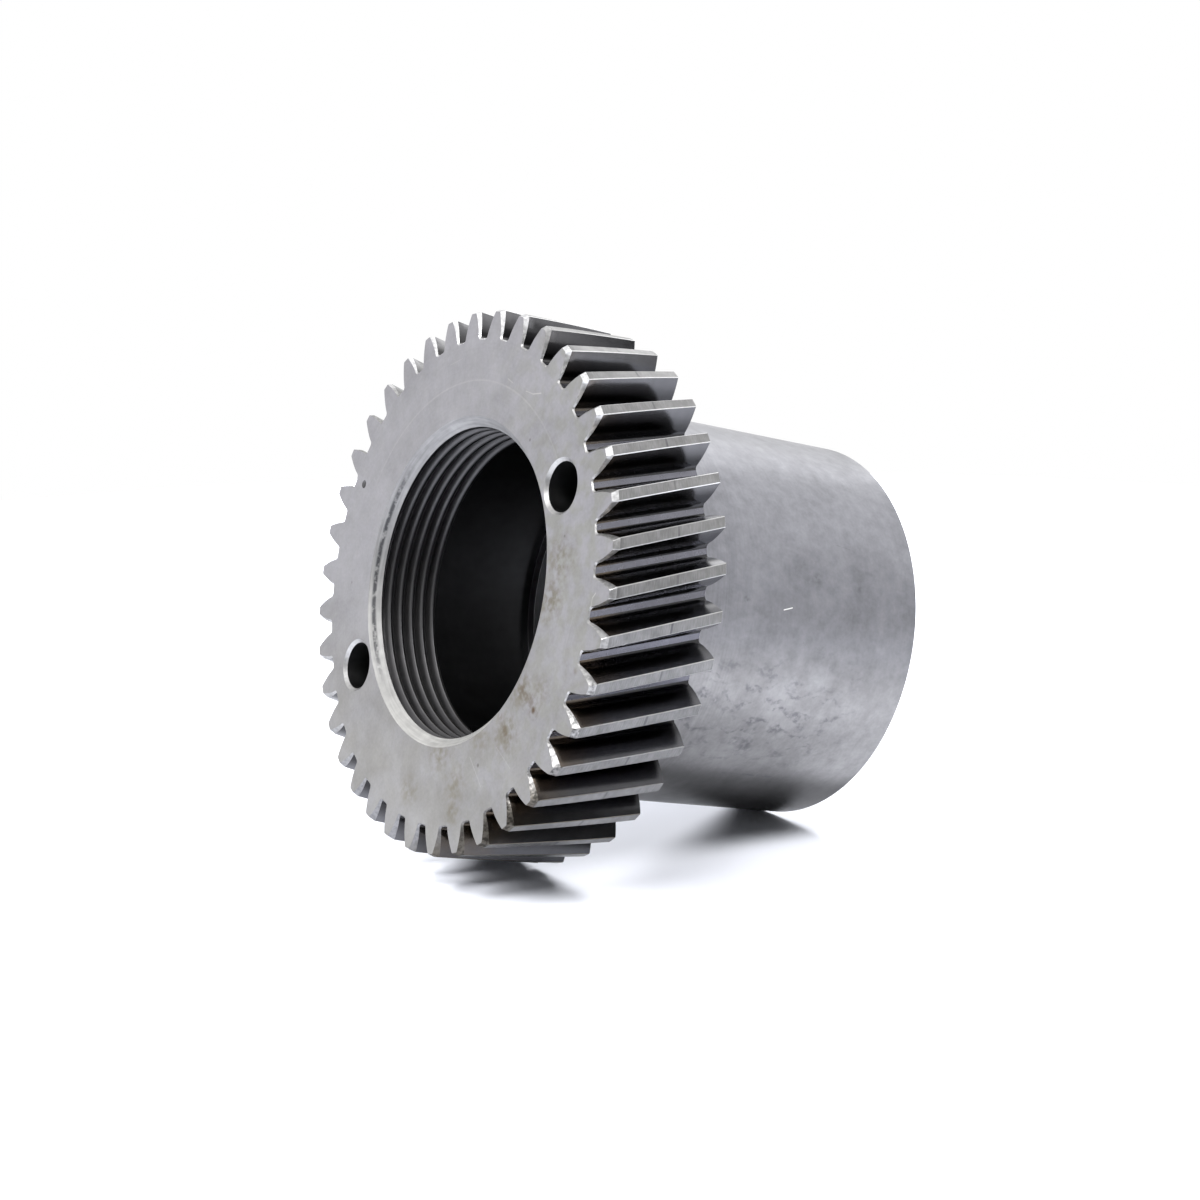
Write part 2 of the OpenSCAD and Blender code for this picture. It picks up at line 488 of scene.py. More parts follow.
def thread_column(angle):
    """The bore's wall from the front face to the end of the thread at one angle, as (depth, radius)."""
    shift = CREST_DEPTH - THREAD_PITCH * angle / (2 * math.pi)
    profile = thread_profile()
    turns = int(THREAD_END / THREAD_PITCH) + 3
    wall = []
    for turn in range(-2, turns):
        for along, radius in profile:
            depth = shift + THREAD_PITCH * turn + along
            grown = min(1.0, max(0.0, (depth - GROOVE_START) / (GROOVE_FULL - GROOVE_START)))
            wall.append((depth, CREST_R + (radius - CREST_R) * grown))
    column = []
    for (depth_a, radius_a), (depth_b, radius_b) in zip(wall, wall[1:]):
        gap_a = radius_a - (MOUTH_R - depth_a)
        gap_b = radius_b - (MOUTH_R - depth_b)
        share = gap_a / (gap_a - gap_b) if gap_a * gap_b < 0 else 0.5
        between = (depth_a + (depth_b - depth_a) * share, radius_a + (radius_b - radius_a) * share)
        column.append((depth_a, max(radius_a, MOUTH_R - depth_a)))
        column.append((between[0], max(between[1], MOUTH_R - between[0])))
    end_radius = float(np.interp(THREAD_END, *zip(*column)))
    clipped = []
    for depth, radius in column:
        if depth <= 0:
            clipped.append((0.0, MOUTH_R))
        elif depth >= THREAD_END:
            clipped.append((THREAD_END, end_radius))
        else:
            clipped.append((depth, radius))
    return clipped


def add_bore(skin):
    """The chamfered mouth and thread, the relief, the shoulder and the seat."""
    columns = []
    for i in range(ROUND_STEPS + 1):
        angle = 2 * math.pi * i / ROUND_STEPS
        wall = thread_column(angle)
        columns.append([(*polar(radius, angle), TOTAL_LEN - depth) for depth, radius in wall])
    skin.grid(columns, "thread", closed=False)
    end_ring = [column[-1] for column in columns[:-1]]
    shoulder_z = TOTAL_LEN - SHOULDER_DEPTH
    profile = [
        (RELIEF_R, TOTAL_LEN - THREAD_END),
        (RELIEF_R, shoulder_z),
        (SEAT_R, shoulder_z),
        (SEAT_R, SEAT_CHAMFER),
        (SEAT_R + SEAT_CHAMFER, 0),
    ]
    skin.grid([end_ring] + [ring(*point) for point in profile], "dark_bore")


def hole_centres():
    return [polar(HOLE_CIRCLE_R, 2 * math.pi * i / HOLE_COUNT) for i in range(HOLE_COUNT)]


def add_front(skin):
    """The ground front face with its blind holes and the punch mark."""
    punch = polar(PUNCH_CIRCLE_R, PUNCH_ANGLE)
    openings = [flat_ring(MOUTH_R), flat_ring(PUNCH_R, PUNCH_STEPS, punch)]
    openings += [flat_ring(HOLE_R + HOLE_CHAMFER, HOLE_STEPS, centre) for centre in hole_centres()]
    skin.flat(ring_outline(tooth_slices()[-1][0], TOTAL_LEN), openings, TOTAL_LEN, "ground_face")
    for centre in hole_centres():
        mouth = ring(HOLE_R + HOLE_CHAMFER, TOTAL_LEN, HOLE_STEPS, centre)
        throat = ring(HOLE_R, TOTAL_LEN - HOLE_CHAMFER, HOLE_STEPS, centre)
        floor = ring(HOLE_R, TOTAL_LEN - HOLE_DEPTH, HOLE_STEPS, centre)
        skin.grid([mouth, throat], "cut_edge")
        skin.grid([throat, floor], "dark_bore")
        point_z = TOTAL_LEN - HOLE_DEPTH - HOLE_R / math.tan(DRILL_POINT / 2)
        skin.apex(floor, (*centre, point_z), "dark_bore")
    skin.apex(ring(PUNCH_R, TOTAL_LEN, PUNCH_STEPS, punch), (*punch, TOTAL_LEN - PUNCH_DEPTH), "dark_bore")


def build_gear(materials):
    """The whole gear as one closed mesh that stands for the solid."""
    skin = Skin()
    add_front(skin)
    add_hub(skin)
    add_bore(skin)
    ring_mesh = toothed_ring(materials)
    ring_finishes = [FINISHES.index(material.name) if material else 0 for material in ring_mesh.materials]

    mesh = bmesh.new()
    teeth = [mesh.verts.new(v.co) for v in ring_mesh.vertices]
    for polygon in ring_mesh.polygons:
        face = mesh.faces.new([teeth[i] for i in polygon.vertices])
        face.material_index = ring_finishes[polygon.material_index]
    rest = [mesh.verts.new(Vector(p) * MM) for p in skin.points]
    for corners, finish in zip(skin.faces, skin.finishes):
        mesh.faces.new([rest[i] for i in corners]).material_index = finish
    bmesh.ops.remove_doubles(mesh, verts=mesh.verts, dist=WELD * MM)
    bmesh.ops.recalc_face_normals(mesh, faces=mesh.faces)
    loose = [v for v in mesh.verts if not v.link_faces]
    bmesh.ops.delete(mesh, geom=loose, context="VERTS")

    made = bpy.data.meshes.new("gear")
    mesh.to_mesh(made)
    mesh.free()
    made.shade_smooth()
    made.set_sharp_from_angle(angle=SMOOTH_ANGLE)
    for name in FINISHES:
        made.materials.append(materials[name])
    gear = in_scene("gear", made)
    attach(gear, BODY)
    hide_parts(NODE)


# Finishes

def noise(tree, place, size, detail=3.0):
    """Soft noise from 0 to 1 with blotches about as large as size, in the units of place."""
    made = add(tree, "ShaderNodeTexNoise", {"Vector": place, "Scale": 1 / size, "Detail": detail})
    return made.outputs["Fac"]


def ramp(tree, value, start, end, first=0.0, last=1.0):
    """A value that goes smoothly from first to last while the input goes from start to end, up or down."""
    inputs = {0: value, 1: start, 2: end, 3: first, 4: last}
    return add(tree, "ShaderNodeMapRange", inputs, interpolation_type="SMOOTHSTEP").outputs[0]


def near(tree, value, target, full, none):
    """A mask that is 1 where the value is within full of a target, and 0 where it is none or more away."""
    away = math_node(tree, "ABSOLUTE", math_node(tree, "SUBTRACT", value, target))
    return ramp(tree, away, none, full)


def uneven(tree, place, size, least, spread):
    """A value from least up to least + spread, in soft blotches about as large as size."""
    return math_node(tree, "MULTIPLY_ADD", noise(tree, place, size), spread, least)


def times(tree, *values):
    product = values[0]
    for value in values[1:]:
        product = math_node(tree, "MULTIPLY", product, value)
    return product


def largest(tree, values):
    most = values[0]
    for value in values[1:]:
        most = math_node(tree, "MAXIMUM", most, value)
    return most


def mix(tree, share, below, above):
    """One value over another by a mask."""
    return add(tree, "ShaderNodeMix", {0: share, 2: below, 3: above}, data_type="FLOAT").outputs[0]


def blend(tree, share, below, above):
    """One colour over another by a mask. Each is a socket or red, green and blue."""
    colours = [c if isinstance(c, bpy.types.NodeSocket) else (*c, 1) for c in (below, above)]
    made = add(tree, "ShaderNodeMix", {0: share, 6: colours[0], 7: colours[1]}, data_type="RGBA")
    return made.outputs[2]


def shade(tree, colour, strength):
    """A colour or vector made larger or smaller by a factor."""
    return add(tree, "ShaderNodeVectorMath", {0: colour, "Scale": strength}, operation="SCALE").outputs[0]


def vector(tree, x, y, z=0.0):
    return add(tree, "ShaderNodeCombineXYZ", {0: x, 1: y, 2: z}).outputs[0]


def vector_math(tree, operation, a, b=(0, 0, 0)):
    """The outputs of an operation on vectors."""
    return add(tree, "ShaderNodeVectorMath", {0: a, 1: b}, operation=operation).outputs


def toward(tree, place, direction):
    """How far a point lies from the axis in a direction, in millimetres."""
    return vector_math(tree, "DOT_PRODUCT", place, direction)["Value"]


def place_effect():
    """Where a point lies on the gear, in millimetres: plain, round the axis, and unrolled on the hub."""
    outputs = {"Place": "Vector", "Unrolled": "Vector"}
    outputs |= {name: "Float" for name in ("Radius", "Height", "Round")}
    tree, _ = node_group("place_on_gear", "ShaderNodeTree", {}, outputs)
    place = shade(tree, tree.nodes.new("ShaderNodeTexCoord").outputs["Object"], 1 / MM)
    parts = add(tree, "ShaderNodeSeparateXYZ", {0: place}).outputs
    flat = vector(tree, parts["X"], parts["Y"])
    radius = vector_math(tree, "LENGTH", flat)["Value"]
    arc = math_node(tree, "MULTIPLY", math_node(tree, "ARCTAN2", parts["Y"], parts["X"]), HUB_R)
    unrolled = vector(tree, parts["Z"], arc)
    made = {"Place": place, "Radius": radius, "Height": parts["Z"], "Round": arc, "Unrolled": unrolled}
    add(tree, "NodeGroupOutput", made)


def mottle_effect():
    """Soft light and dark blotches round a level of 1, in three sizes."""
    sizes = [("Large", 9.0, 3.0), ("Small", 1.8, 3.0), ("Fine", 0.5, 2.0)]
    inputs = {"Place": "Vector"} | {name: "Float" for name, _, _ in sizes}
    tree, given = node_group("mottle", "ShaderNodeTree", inputs, {"Level": "Float"})
    level = 1.0
    for name, size, detail in sizes:
        blotches = math_node(tree, "SUBTRACT", noise(tree, given["Place"], size, detail), 0.5)
        level = math_node(tree, "MULTIPLY_ADD", blotches, given[name], level)
    add(tree, "NodeGroupOutput", {"Level": level})


def tool_marks_effect():
    """Fine lines left by a tool round a level of 1. Step is measured across them and Run along them."""
    inputs = {name: "Float" for name in ("Step", "Run", "Spacing", "Length", "Strength")}
    tree, given = node_group("tool_marks", "ShaderNodeTree", inputs, {"Level": "Float", "Lines": "Float"})
    across = math_node(tree, "DIVIDE", given["Step"], given["Spacing"])
    along = math_node(tree, "DIVIDE", given["Run"], given["Length"])
    lines = noise(tree, vector(tree, across, along), 1.0, 2.0)
    centred = math_node(tree, "SUBTRACT", lines, 0.5)
    level = math_node(tree, "MULTIPLY_ADD", centred, given["Strength"], 1.0)
    add(tree, "NodeGroupOutput", {"Level": level, "Lines": lines})


def spot_effect():
    """A mask of one ragged spot, 1 in its middle."""
    inputs = {"Place": "Vector", "Centre": "Vector", "Size": "Float"}
    tree, given = node_group("ragged_spot", "ShaderNodeTree", inputs, {"Mask": "Float"})
    away = vector_math(tree, "DISTANCE", given["Place"], given["Centre"])["Value"]
    share = math_node(tree, "DIVIDE", away, given["Size"])
    edge = math_node(tree, "SUBTRACT", noise(tree, given["Place"], 1.1), 0.5)
    reach = math_node(tree, "MULTIPLY_ADD", edge, SPOT_RAGGEDNESS, share)
    add(tree, "NodeGroupOutput", {"Mask": ramp(tree, reach, 1.05, 0.1)})


def scratch_effect():
    """A mask of one straight scratch between two points."""
    inputs = {"Place": "Vector", "Start": "Vector", "End": "Vector", "Width": "Float"}
    tree, given = node_group("scratch", "ShaderNodeTree", inputs, {"Mask": "Float"})
    whole = vector_math(tree, "SUBTRACT", given["End"], given["Start"])["Vector"]
    here = vector_math(tree, "SUBTRACT", given["Place"], given["Start"])["Vector"]
    reach = vector_math(tree, "DOT_PRODUCT", here, whole)["Value"]
    square = vector_math(tree, "DOT_PRODUCT", whole, whole)["Value"]
    share = math_node(tree, "DIVIDE", reach, square)
    share = math_node(tree, "MINIMUM", math_node(tree, "MAXIMUM", share), 1.0)
    away = vector_math(tree, "DISTANCE", here, shade(tree, whole, share))["Value"]
    taper = math_node(tree, "DIVIDE", away, given["Width"])
    add(tree, "NodeGroupOutput", {"Mask": ramp(tree, taper, 1.0, 0.3)})


def use(tree, effect, **inputs):
    """The outputs of a shared effect placed in a material."""
    return add(tree, "ShaderNodeGroup", inputs, node_tree=bpy.data.node_groups[effect]).outputs


def mottled(tree, place, large, small, fine=0.0):
    """A level round 1 in soft blotches: how much it varies in large, small and fine ones."""
    return use(tree, "mottle", Place=place, Large=large, Small=small, Fine=fine)["Level"]


def tool_marks(tree, step, run, spacing, length, strength):
    """Fine lines across a direction of the gear, as a level round 1 and as lines from 0 to 1."""
    inputs = {"Step": step, "Run": run, "Spacing": spacing, "Length": length, "Strength": strength}
    return use(tree, "tool_marks", **inputs)


def spots(tree, place, marks, y_unit=1.0):
    """One mask for several ragged spots, each given as (x, y, size, strength)."""
    masks = []
    for x, y, size, strength in marks:
        spot = use(tree, "ragged_spot", Place=place, Centre=(x, y * y_unit, 0), Size=size)["Mask"]
        masks.append(times(tree, spot, strength))
    return largest(tree, masks)


def scratches(tree, place, marks, y_unit=1.0):
    """One mask for several scratches, each given as (x, y, end x, end y, width, strength)."""
    masks = []
    for x, y, end_x, end_y, width, strength in marks:
        start = (x, y * y_unit, 0)
        end = (end_x, end_y * y_unit, 0)
        line = use(tree, "scratch", Place=place, Start=start, End=end, Width=width)["Mask"]
        masks.append(times(tree, line, strength))
    return largest(tree, masks)


def new_material(name):
    """A new material and its surface shader."""
    material = bpy.data.materials.new(name)
    material.use_nodes = True
    return material, material.node_tree.nodes["Principled BSDF"]


def finish_steel(tree, surface, colour, roughness, relief=None, relief_height=0.0):
    """Links a metal's colour and roughness, and its relief as a bump in millimetres."""
    tree.links.new(colour, surface.inputs["Base Color"])
    tree.links.new(roughness, surface.inputs["Roughness"])
    if relief is not None:
        inputs = {"Strength": 1.0, "Distance": relief_height * MM, "Height": relief}
        tree.links.new(add(tree, "ShaderNodeBump", inputs).outputs[0], surface.inputs["Normal"])


# Directions in which the finish changes: the side that the gear lies on, and its sides in the photo
LOW_SIDE = (-0.45, -0.89, 0)
LEFT_SIDE = (-0.75, -0.66, 0)
TOP_SIDE = (0.31, 0.95, 0)
RIGHT_SIDE = (0.98, 0.2, 0)
STAINED_SIDE = (0.7, -0.7, 0)
FOOT_SIDE = (0.25, -0.97, 0)
START_SIDE = (-0.85, 0.52, 0)
BOTTOM_SIDE = (-0.1, -0.99, 0)

# Colours of the bare steel, of what lies on it or has worn it, and of painted light and shade on it
GROUND_STEEL = (0.402, 0.397, 0.427)
GROUND_OLIVE = (0.355, 0.355, 0.336)
# Darker colour of the face towards the side that lies on the table, also used for painted shade towards its
# left
GROUND_DARKENED = (0.27, 0.262, 0.245)
STAIN = (0.2, 0.175, 0.12)
RUST = (0.13, 0.085, 0.05)
SPECK = (0.1, 0.09, 0.08)
FACE_SCRATCH = (0.62, 0.61, 0.6)
HUB_STEEL = (0.27, 0.266, 0.268)
HUB_BLUE = (0.258, 0.26, 0.284)
HUB_SMUDGE = (0.13, 0.13, 0.145)
HUB_LIGHT = (0.5, 0.5, 0.51)
HUB_SCRATCH = (0.95, 0.95, 0.93)
LAND_STEEL = (0.24, 0.239, 0.24)
HAIRLINE = (0.1, 0.1, 0.11)
FLANK_STEEL = (0.13, 0.13, 0.138)
FLANK_OIL = (0.16, 0.125, 0.09)
ROOT_STEEL = (0.165, 0.165, 0.19)
EDGE_STEEL = (0.46, 0.457, 0.455)
# Edges darker towards the side that lies on the table and darkest towards the bottom, and painted highlight
# on the edges at the top and on the right
EDGE_DARKENED = (0.28, 0.278, 0.285)
EDGE_DARKEST = (0.15, 0.138, 0.12)
EDGE_PAINTED_HIGHLIGHT = (0.85, 0.85, 0.86)
THREAD_GROOVE = (0.11, 0.108, 0.112)
THREAD_CREST = (0.05, 0.05, 0.052)
# Painted highlight on the thread's crests towards the side that lies on the table
THREAD_PAINTED_HIGHLIGHT = (0.2, 0.195, 0.198)
# The mouth's chamfer, from dull to bright by side as painted light and shade, with a painted line of shade
# where the thread starts
MOUTH_DULL = (0.34, 0.338, 0.342)
MOUTH_PALE = (0.385, 0.382, 0.378)
MOUTH_PAINTED_HIGHLIGHT = (0.64, 0.635, 0.62)
MOUTH_START_SHADE = (0.1, 0.1, 0.105)
BORE_STEEL = (0.048, 0.048, 0.05)
BORE_LIGHTER = (0.22, 0.22, 0.23)
HOLE_STEEL = (0.13, 0.13, 0.132)

# How much of the glare of bare steel is left on a finish, where it is less than all
SPECULAR_TINT = {"cut_edge": 0.6, "dark_bore": 0.2}
# How far the edge of a spot strays, as a share of its size
SPOT_RAGGEDNESS = 0.7
# The scribed circle on the front face, the hairline round the teeth, and the thread's start in the mouth,
# where a line of painted shade is drawn
SCRIBED_R = 31.0
HAIRLINE_Z = 56.2
START_R = 24.8

# Marks on the front face in x and y. Stains are (x, y, size, strength) and scratches are
# (x, y, end x, end y, width, strength).
FACE_RUST = [(14.4, -28.3, 0.8, 0.9), (6.4, -27.0, 0.8, 0.3), (25.6, -27.4, 0.7, 0.3)]
FACE_RUST_STREAKS = [(12.9, -24.8, 14.5, -28.6, 1.7, 0.45), (6.2, -25.6, 6.8, -28.4, 0.9, 0.4)]
FACE_STAINS = [
    (12.6, -24.2, 4.2, 0.6),
    (-10.2, -23.8, 4.6, 0.55),
    (-8.0, -30.4, 4.2, 0.5),
    (26.9, -10.3, 5.5, 0.5),
    (23.0, -14.8, 4.8, 0.6),
    (6.7, -28.7, 4.6, 0.6),
    (-20.5, -26.0, 3.4, 0.45),
    (-9.9, -34.0, 3.0, 0.5),
    (16.5, -26.5, 3.6, 0.4),
    (0.5, -26.5, 3.6, 0.4),
]
FACE_SPECKS = [
    (-1.3, -30.1, 0.4, 0.7),
    (25.3, 10.6, 0.35, 0.5),
    (29.0, -7.5, 0.3, 0.5),
    (-28.0, 14.0, 0.35, 0.4),
]
FACE_SCRATCHES = [
    (33.4, -18.9, 32.5, -19.2, 0.11, 0.8),
    (32.5, -19.2, 31.7, -20.3, 0.09, 0.6),
    (26.5, 18.3, 28.0, 16.9, 0.1, 0.6),
    (28.0, 16.9, 29.9, 15.9, 0.14, 0.7),
    (22.8, 22.7, 23.8, 21.3, 0.1, 0.5),
    (9.0, 33.5, 12.5, 32.6, 0.08, 0.3),
    (-3.0, -28.0, -1.5, -33.5, 0.08, 0.25),
    (4.0, -29.5, 6.5, -34.0, 0.07, 0.2),
    (27.5, -19.5, 24.0, -23.5, 0.07, 0.2),
]

# Marks on the hub, with its height for x and degrees from the side of the first face hole for y
HUB_DEGREE = math.radians(1) * HUB_R
HUB_SMUDGES = [
    (20.9, -16.2, 1.6, 0.5),
    (26.2, -68.4, 2.2, 0.7),
    (28.6, -66.9, 1.5, 0.6),
    (34.7, -25.0, 1.1, 0.6),
    (36.2, -54.4, 1.3, 0.5),
    (27.9, -43.6, 1.0, 0.5),
    (12.1, -17.2, 0.8, 0.6),
    (22.0, -62.0, 1.2, 0.6),
    (17.5, -60.5, 1.1, 0.6),
    (14.0, -59.5, 0.9, 0.5),
]
HUB_LIGHT_SPOTS = [(17.9, -45.3, 3.4, 0.5), (24.0, -48.0, 3.8, 0.4)]
HUB_DARK_LINES = [(15.8, -81.0, 26.0, -81.0, 0.35, 0.6), (13.4, -5.4, 16.0, -4.6, 0.12, 0.4)]
HUB_SCRATCHES = [(27.3, -26.2, 25.7, -25.3, 0.13, 1.0)]


# Each finish takes where a point lies on the gear, and gives its colour and roughness and, where it has
# one, its relief and the height of that in millimetres.

def ground_face(tree, at):
    """Ground steel: pale, with faint rings, a scribed line, olive stains and a little rust. It is darker in
    blotches towards the side that lies on the table, and painted shade darkens it towards the left.
    """
    place = at["Place"]
    rings = tool_marks(tree, at["Radius"], at["Round"], spacing=0.32, length=8.0, strength=0.12)
    cross = tool_marks(tree, at["Round"], at["Radius"], spacing=0.5, length=5.0, strength=0.1)
    mottle = mottled(tree, place, large=0.4, small=0.25, fine=0.2)
    colour = shade(tree, GROUND_STEEL, times(tree, rings["Level"], cross["Level"], mottle))
    cloud = ramp(tree, noise(tree, place, 2.4, 5.0), 0.4, 0.62)
    stained = ramp(tree, toward(tree, place, STAINED_SIDE), -10.0, 24.0, 0.12, 0.8)
    colour = blend(tree, times(tree, cloud, stained), colour, shade(tree, GROUND_OLIVE, mottle))
    low = toward(tree, place, LOW_SIDE)
    # Painted shade: the face is made darker towards the left, on top of the darker blotches towards the side
    # that lies on the table
    left = times(tree, ramp(tree, toward(tree, place, LEFT_SIDE), 8.0, 38.0), 0.4)
    darkening = times(tree, ramp(tree, low, -12.0, 30.0), noise(tree, place, 6.0, 4.0))
    darkening = math_node(tree, "ADD", darkening, left)
    colour = blend(tree, darkening, colour, shade(tree, GROUND_DARKENED, mottle))
    parts = add(tree, "ShaderNodeSeparateXYZ", {0: place}).outputs
    flat = vector(tree, parts["X"], parts["Y"])
    blotch = ramp(tree, noise(tree, place, 1.1, 5.0), 0.3, 0.66)
    stains = times(tree, spots(tree, flat, FACE_STAINS), blotch)
    colour = blend(tree, times(tree, stains, 1.2), colour, STAIN)
    streaks = times(tree, scratches(tree, flat, FACE_RUST_STREAKS), blotch)
    rust = largest(tree, [spots(tree, flat, FACE_RUST), streaks])
    colour = blend(tree, rust, colour, RUST)
    colour = blend(tree, spots(tree, flat, FACE_SPECKS), colour, SPECK)
    high_side = ramp(tree, low, -8.0, -28.0)
    circle = near(tree, at["Radius"], SCRIBED_R, 0.05, 0.2)
    scribed = times(tree, circle, high_side, noise(tree, place, 2.5), 0.45)
    bright = largest(tree, [scribed, scratches(tree, flat, FACE_SCRATCHES)])
    colour = blend(tree, bright, colour, FACE_SCRATCH)
    roughness = math_node(tree, "MULTIPLY_ADD", largest(tree, [stains, rust]), 0.25, 0.34)
    return colour, roughness, rings["Lines"], 0.004


def turned_hub(tree, at):
    """Turned steel under a dull blue-grey skin: ringed near the teeth, smudged, with one bright scratch.
    Painted shade darkens its underside, and the part behind the teeth more, and painted light and shade lay
    lighter and darker bands round it.
    """
    place = at["Place"]
    height = at["Height"]
    arc = at["Round"]
    unrolled = at["Unrolled"]
    on_face = ramp(tree, at["Radius"], HUB_R - 0.2, HUB_R - 0.4)
    across = mix(tree, on_face, height, at["Radius"])
    near_teeth = ramp(tree, height, 28.0, 44.0, 0.07, 0.42)
    rings = tool_marks(tree, across, arc, spacing=0.45, length=14.0, strength=near_teeth)
    bands = tool_marks(tree, across, arc, spacing=2.6, length=16.0, strength=0.18)
    mottle = mottled(tree, place, large=0.6, small=0.5, fine=0.22)
    far_side = ramp(tree, arc, -58.0, -82.0)
    blue = largest(tree, [ramp(tree, arc, -26.0, -10.0), far_side])
    skin = blend(tree, blue, HUB_STEEL, HUB_BLUE)
    # Painted shade: the underside of the hub, which faces the table, is made darker, most of all further
    # from its end, and darker still behind the teeth
    deepest = ramp(tree, height, 8.0, 20.0, 0.26, 0.4)
    under = ramp(tree, arc, -46.5, -39.5, deepest, 1.0)
    behind_teeth = times(tree, ramp(tree, arc, -47.0, -56.0), ramp(tree, height, 14.0, 23.0))
    under = times(tree, under, math_node(tree, "MULTIPLY_ADD", behind_teeth, -0.65, 1.0))
    # Painted light and shade: lighter and darker bands round the hub, evened out on its far side
    lower = ramp(tree, arc, -31.0, -21.0, 1.2, 0.9)
    upper = ramp(tree, arc, -13.0, -3.0, 1.0, 1.15)
    painted_shading = mix(tree, far_side, times(tree, under, lower, upper), 1.035)
    colour = shade(tree, skin, times(tree, rings["Level"], bands["Level"], mottle, painted_shading))
    strayed = math_node(tree, "MULTIPLY_ADD", noise(tree, unrolled, 5.0, 4.0), 5.0, arc)
    drift = vector(tree, times(tree, height, 0.4), strayed)
    smears = ramp(tree, noise(tree, drift, 1.7, 5.0), 0.5, 0.66)
    along_arc = times(tree, ramp(tree, arc, -46.0, -32.0), ramp(tree, arc, -18.0, -28.0))
    band = times(tree, along_arc, ramp(tree, height, 6.0, 14.0))
    smears = times(tree, smears, math_node(tree, "MULTIPLY_ADD", band, 0.6, 0.08))
    smudges = spots(tree, unrolled, HUB_SMUDGES, HUB_DEGREE)
    dark_lines = scratches(tree, unrolled, HUB_DARK_LINES, HUB_DEGREE)
    dark = largest(tree, [smears, smudges, dark_lines])
    dark = times(tree, dark, ramp(tree, noise(tree, unrolled, 0.9, 4.0), 0.35, 0.6))
    colour = blend(tree, dark, colour, HUB_SMUDGE)
    light = spots(tree, unrolled, HUB_LIGHT_SPOTS, HUB_DEGREE)
    colour = blend(tree, times(tree, light, noise(tree, place, 1.2, 4.0)), colour, HUB_LIGHT)
    scratch = scratches(tree, unrolled, HUB_SCRATCHES, HUB_DEGREE)
    colour = blend(tree, scratch, colour, HUB_SCRATCH)
    return colour, uneven(tree, place, 4.0, least=0.28, spread=0.14), rings["Lines"], 0.003


def tooth_land(tree, at):
    """The outsides of the teeth: fine marks across them and one hairline right round."""
    place = at["Place"]
    marks = tool_marks(tree, at["Height"], at["Round"], spacing=0.17, length=1.2, strength=0.8)
    mottle = mottled(tree, place, large=0.4, small=0.6)
    colour = shade(tree, LAND_STEEL, times(tree, marks["Level"], mottle))
    line = near(tree, at["Height"], HAIRLINE_Z, 0.08, 0.26)
    colour = blend(tree, times(tree, line, noise(tree, place, 5.0, 2.0), 1.2), colour, HAIRLINE)
    return colour, uneven(tree, place, 1.5, least=0.26, spread=0.2), marks["Lines"], 0.005


def tooth_flank(tree, at):
    """The tooth flanks show wear: dark, darkest at the foot from painted shade in the gaps, darker towards
    the bottom, and brownish near the front.
    """
    place = at["Place"]
    # Painted shade: each flank is made darker towards its foot, deep in the gap
    up = ramp(tree, at["Radius"], ROOT_R + 1.2, TIP_R - 0.2, 0.35, 1.1)
    marks = tool_marks(tree, at["Radius"], at["Height"], spacing=0.5, length=9.0, strength=0.15)
    mottle = mottled(tree, place, large=0.3, small=0.3)
    # Darker on the teeth towards the bottom
    bottom_darkening = ramp(tree, toward(tree, place, BOTTOM_SIDE), 30.0, 38.0, 1.0, 0.6)
    colour = shade(tree, FLANK_STEEL, times(tree, up, bottom_darkening, marks["Level"], mottle))
    front = ramp(tree, at["Height"], TOTAL_LEN - 7.0, TOTAL_LEN - 0.5)
    oiled = ramp(tree, toward(tree, place, STAINED_SIDE), 4.0, 30.0, 0.05, 1.0)
    oil = times(tree, front, noise(tree, place, 2.5), oiled)
    colour = blend(tree, oil, colour, shade(tree, FLANK_OIL, mottle))
    return colour, uneven(tree, place, 2.0, least=0.14, spread=0.12)


def root_land(tree, at):
    """The bottoms of the tooth gaps: blue-grey, in soft blotches."""
    place = at["Place"]
    colour = shade(tree, ROOT_STEEL, mottled(tree, place, large=0.25, small=0.25))
    return colour, uneven(tree, place, 2.0, least=0.2, spread=0.15)


def cut_edge(tree, at):
    """Bright edges broken by hand with a file, uneven along their length. They are darker towards the side
    that lies on the table and darkest towards the bottom, with painted highlight on the edges at the top and
    on the right.
    """
    place = at["Place"]
    at_front = ramp(tree, at["Height"], TOTAL_LEN - 1.4, TOTAL_LEN - 1.1)
    on_teeth = times(tree, at_front, ramp(tree, at["Radius"], 35.0, 37.0))
    patchy = ramp(tree, toward(tree, place, FOOT_SIDE), 33.5, 38.0, 0.15, 0.62)
    least = math_node(tree, "MULTIPLY_ADD", times(tree, on_teeth, patchy), -1.0, 1.0)
    blotch = ramp(tree, noise(tree, place, 0.6, 4.0), 0.36, 0.62, least, 1.15)
    # Darker towards the side that lies on the table, and darkest towards the bottom
    darkening = ramp(tree, toward(tree, place, LOW_SIDE), 16.0, 36.0)
    colour = blend(tree, darkening, EDGE_STEEL, EDGE_DARKENED)
    bottom_darkening = ramp(tree, toward(tree, place, BOTTOM_SIDE), 34.5, 39.5)
    colour = blend(tree, bottom_darkening, colour, EDGE_DARKEST)
    # Painted highlight: the edges at the top and on the right of the teeth are made near white
    top = ramp(tree, toward(tree, place, TOP_SIDE), 33.0, 37.5)
    right = ramp(tree, toward(tree, place, RIGHT_SIDE), 37.5, 40.5)
    painted_highlight = largest(tree, [top, times(tree, right, ramp(tree, at["Radius"], 41.2, 41.5))])
    colour = shade(tree, blend(tree, painted_highlight, colour, EDGE_PAINTED_HIGHLIGHT), blotch)
    dents = times(tree, noise(tree, place, 0.9), on_teeth, patchy)
    return colour, uneven(tree, place, 0.6, least=0.32, spread=0.2), dents, 0.17


